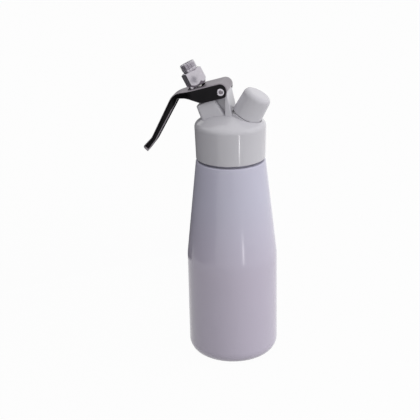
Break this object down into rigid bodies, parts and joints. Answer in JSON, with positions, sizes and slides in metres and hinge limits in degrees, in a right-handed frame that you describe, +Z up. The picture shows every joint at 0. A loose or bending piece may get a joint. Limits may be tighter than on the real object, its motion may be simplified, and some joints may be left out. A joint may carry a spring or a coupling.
{
  "type": "whipped cream dispenser",
  "caption": "Whipped cream dispenser: tapered painted bottle, white screw-on head with tilted valve, squeeze lever, hexagonal nozzle adapter and capped charger inlet.",
  "frame": {"origin": "centre of the bottle's base, on the surface it stands on", "axes": "+Z up along the bottle; -X towards the lever and nozzle, +X towards the charger cap; XZ is the mirror plane"},
  "size_m": [0.1179, 0.08, 0.2689],
  "materials": {
    "bottle_paint": "gloss",
    "head_plastic": "gloss",
    "lever_steel": "satin",
    "nozzle_steel": "satin",
    "inner_metal": "satin",
    "spring_steel": "satin",
    "bronze": "satin",
    "silicone": "matte",
    "seal_rubber": "matte",
    "guide_plastic": "matte"
  },
  "bodies": {
    "bottle": {"bottle": "bottle_paint"},
    "gasket": {"head_gasket": "silicone"},
    "head": {"head_shell": "head_plastic", "thread_insert": "inner_metal", "pivot_bush": "bronze", "stem_guide": "guide_plastic", "valve_spring": "spring_steel", "charger_inlet": "inner_metal", "inlet_seal": "seal_rubber", "charger_seal": "seal_rubber", "piercing_pin": "spring_steel", "check_band": "seal_rubber", "check_nut": "inner_metal"},
    "lever": {"lever": "lever_steel", "pivot_pin": "nozzle_steel", "pivot_washers": "guide_plastic"},
    "valve": {"valve_stem": "inner_metal", "valve_collar": "inner_metal", "collar_clip": "spring_steel", "stem_oring": "seal_rubber", "seat_seal": "silicone", "nozzle_adapter": "nozzle_steel"},
    "liner": {"cap_liner": "silicone"},
    "cap": {"charger_cap": "head_plastic"}
  },
  "joints": [
    {"name": "head_rise", "type": "slide", "parent": "bottle", "child": "gasket", "axis": [0, 0, 1], "range_m": [0, 0.0161]},
    {"name": "head_turn", "type": "hinge", "parent": "gasket", "child": "head", "pos_m": [0, 0, 0.195], "axis": [0, 0, 1], "range_deg": [0, 1440]},
    {"name": "lever_squeeze", "type": "hinge", "parent": "head", "child": "lever", "pos_m": [-0.0053, 0, 0.2447], "axis": [0, -1, 0], "range_deg": [0, 15], "stiffness_Nm_per_rad": 1, "springref_deg": -17.19},
    {"name": "valve_push", "type": "slide", "parent": "head", "child": "valve", "axis": [0.454, 0, -0.891], "range_m": [0, 0.005], "deforming": ["valve_spring"]},
    {"name": "cap_rise", "type": "slide", "parent": "head", "child": "liner", "axis": [0.4848, 0, 0.8746], "range_m": [0, 0.009]},
    {"name": "cap_turn", "type": "hinge", "parent": "liner", "child": "cap", "pos_m": [0.01939, 0, 0.23059], "axis": [0.4848, 0, 0.8746], "range_deg": [0, 2161]}
  ],
  "couplings": [
    {"joint": "head_rise", "follows": "head_turn", "m_per_rad": 0.00063662},
    {"joint": "valve_push", "follows": "lever_squeeze", "m_per_rad": 0.0187},
    {"joint": "cap_turn", "follows": "cap_rise", "rad_per_m": 4188.8}
  ]
}
